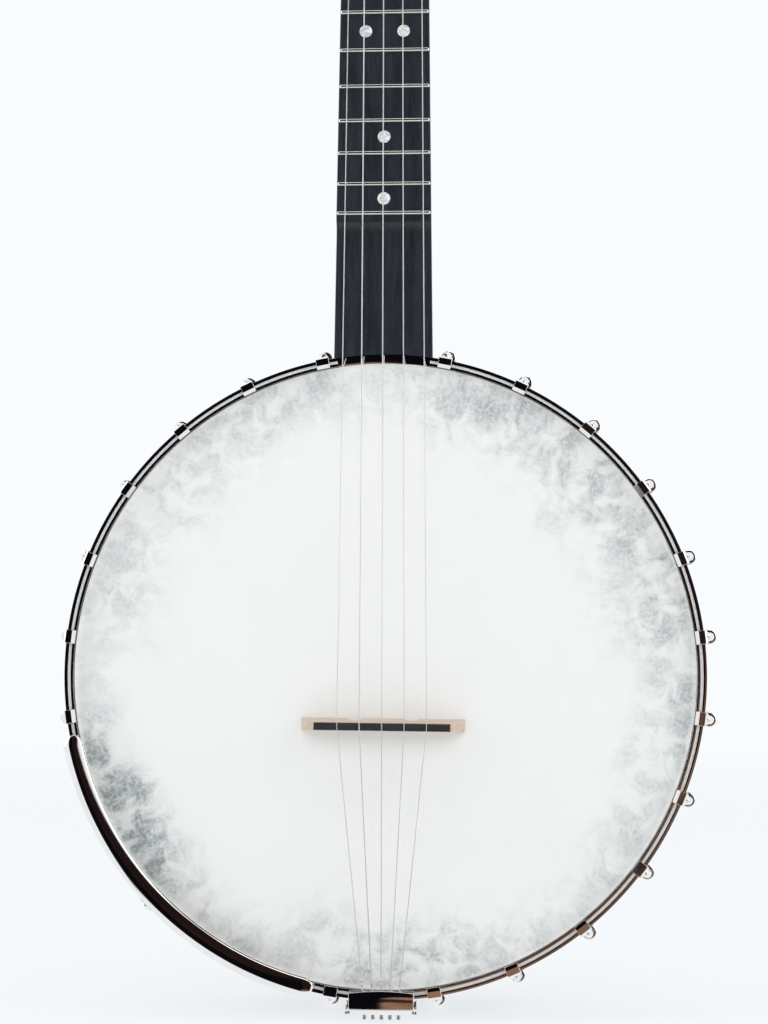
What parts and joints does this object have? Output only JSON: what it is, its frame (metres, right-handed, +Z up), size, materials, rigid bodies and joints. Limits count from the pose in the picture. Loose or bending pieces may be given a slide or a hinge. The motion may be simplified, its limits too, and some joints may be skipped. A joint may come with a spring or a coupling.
{
  "type": "banjo",
  "caption": "Open-back long-necked string instrument: round drum pot with clamped skin head, metal armrest, floating bridge, tailpiece, fretted neck and geared tuners.",
  "frame": {"origin": "the lowest point under the pot, on its centre line, in the plane of the tension hoop's front", "axes": "+Z up along the neck, -Y out of the head towards the listener, +X to the right seen from the front (treble side)"},
  "size_m": [0.3266, 0.1032, 0.94],
  "materials": {
    "nickel": "polished nickel plate",
    "brass": "satin",
    "stained_wood": "satin lacquer over dark brown stain",
    "ebony": "oiled, close grain",
    "maple": "raw, fine grain",
    "bone": "satin",
    "head_skin": "frosted fibrous film with grey mottling towards the edge",
    "string_steel": "bright plain wire",
    "pearloid": "polished"
  },
  "bodies": {
    "banjo": {"tuner_4_housing": "nickel", "tuner_3_housing": "nickel", "tuner_2_housing": "nickel", "tuner_1_housing": "nickel", "neck": "stained_wood", "fingerboard": "ebony", "nut": "bone", "fifth_string_nut": "bone", "tuner_5_housing": "nickel", "rim": "stained_wood", "tone_ring": "brass", "head": "head_skin", "tension_hoop": "nickel", "bracket_01": "nickel", "bracket_02": "nickel", "bracket_03": "nickel", "bracket_04": "nickel", "bracket_05": "nickel", "bracket_06": "nickel", "bracket_07": "nickel", "bracket_08": "nickel", "bracket_09": "nickel", "bracket_10": "nickel", "bracket_11": "nickel", "bracket_12": "nickel", "bracket_13": "nickel", "bracket_14": "nickel", "bracket_15": "nickel", "bracket_16": "nickel", "bracket_17": "nickel", "bracket_18": "nickel", "bracket_19": "nickel", "bracket_20": "nickel", "bracket_21": "nickel", "bracket_22": "nickel", "bracket_23": "nickel", "bracket_24": "nickel", "armrest": "nickel", "armrest_bracket": "nickel", "coordinator_rod": "nickel", "tailpiece_base": "nickel", "tailpiece_hanger": "nickel", "bridge_base": "maple", "bridge_cap": "ebony", "string_5": "string_steel", "string_4": "string_steel", "string_3": "string_steel", "string_2": "string_steel", "string_1": "string_steel"},
    "tailpiece_cover": {"tailpiece_cover": "nickel"},
    "tuner_4_post": {"tuner_4_post": "nickel"},
    "tuner_4_knob": {"tuner_4_knob": "pearloid"},
    "tuner_3_post": {"tuner_3_post": "nickel"},
    "tuner_3_knob": {"tuner_3_knob": "pearloid"},
    "tuner_2_post": {"tuner_2_post": "nickel"},
    "tuner_2_knob": {"tuner_2_knob": "pearloid"},
    "tuner_1_post": {"tuner_1_post": "nickel"},
    "tuner_1_knob": {"tuner_1_knob": "pearloid"},
    "tuner_5_post": {"tuner_5_post": "nickel"},
    "tuner_5_knob": {"tuner_5_knob": "pearloid"}
  },
  "joints": [
    {"name": "tailpiece_cover_hinge", "type": "hinge", "parent": "banjo", "child": "tailpiece_cover", "pos_m": [-0.0004, -0.0043, 0.0045], "axis": [1, 0, 0], "range_deg": [0, 100]},
    {"name": "tuner_4_knob_turn", "type": "hinge", "parent": "banjo", "child": "tuner_4_knob", "pos_m": [-0.0135, 0.03431, 0.84937], "axis": [0, 0.9636, -0.2672], "continuous": true},
    {"name": "tuner_4_post_turn", "type": "hinge", "parent": "banjo", "child": "tuner_4_post", "pos_m": [-0.0135, 0.03431, 0.84937], "axis": [0, 0.9636, -0.2672], "continuous": true},
    {"name": "tuner_3_knob_turn", "type": "hinge", "parent": "banjo", "child": "tuner_3_knob", "pos_m": [-0.0115, 0.04714, 0.89563], "axis": [0, 0.9636, -0.2672], "continuous": true},
    {"name": "tuner_3_post_turn", "type": "hinge", "parent": "banjo", "child": "tuner_3_post", "pos_m": [-0.0115, 0.04714, 0.89563], "axis": [0, 0.9636, -0.2672], "continuous": true},
    {"name": "tuner_2_knob_turn", "type": "hinge", "parent": "banjo", "child": "tuner_2_knob", "pos_m": [0.0175, 0.04714, 0.89563], "axis": [0, 0.9636, -0.2672], "continuous": true},
    {"name": "tuner_2_post_turn", "type": "hinge", "parent": "banjo", "child": "tuner_2_post", "pos_m": [0.0175, 0.04714, 0.89563], "axis": [0, 0.9636, -0.2672], "continuous": true},
    {"name": "tuner_1_knob_turn", "type": "hinge", "parent": "banjo", "child": "tuner_1_knob", "pos_m": [0.0195, 0.03431, 0.84937], "axis": [0, 0.9636, -0.2672], "continuous": true},
    {"name": "tuner_1_post_turn", "type": "hinge", "parent": "banjo", "child": "tuner_1_post", "pos_m": [0.0195, 0.03431, 0.84937], "axis": [0, 0.9636, -0.2672], "continuous": true},
    {"name": "tuner_5_knob_turn", "type": "hinge", "parent": "banjo", "child": "tuner_5_knob", "pos_m": [-0.02083, 0.02728, 0.65172], "axis": [-1, 0, 0], "continuous": true},
    {"name": "tuner_5_post_turn", "type": "hinge", "parent": "banjo", "child": "tuner_5_post", "pos_m": [-0.02083, 0.02728, 0.65172], "axis": [-1, 0, 0], "continuous": true}
  ],
  "couplings": [
    {"joint": "tuner_4_post_turn", "follows": "tuner_4_knob_turn", "ratio": 0.25},
    {"joint": "tuner_3_post_turn", "follows": "tuner_3_knob_turn", "ratio": 0.25},
    {"joint": "tuner_2_post_turn", "follows": "tuner_2_knob_turn", "ratio": 0.25},
    {"joint": "tuner_1_post_turn", "follows": "tuner_1_knob_turn", "ratio": 0.25},
    {"joint": "tuner_5_post_turn", "follows": "tuner_5_knob_turn", "ratio": 0.25}
  ]
}
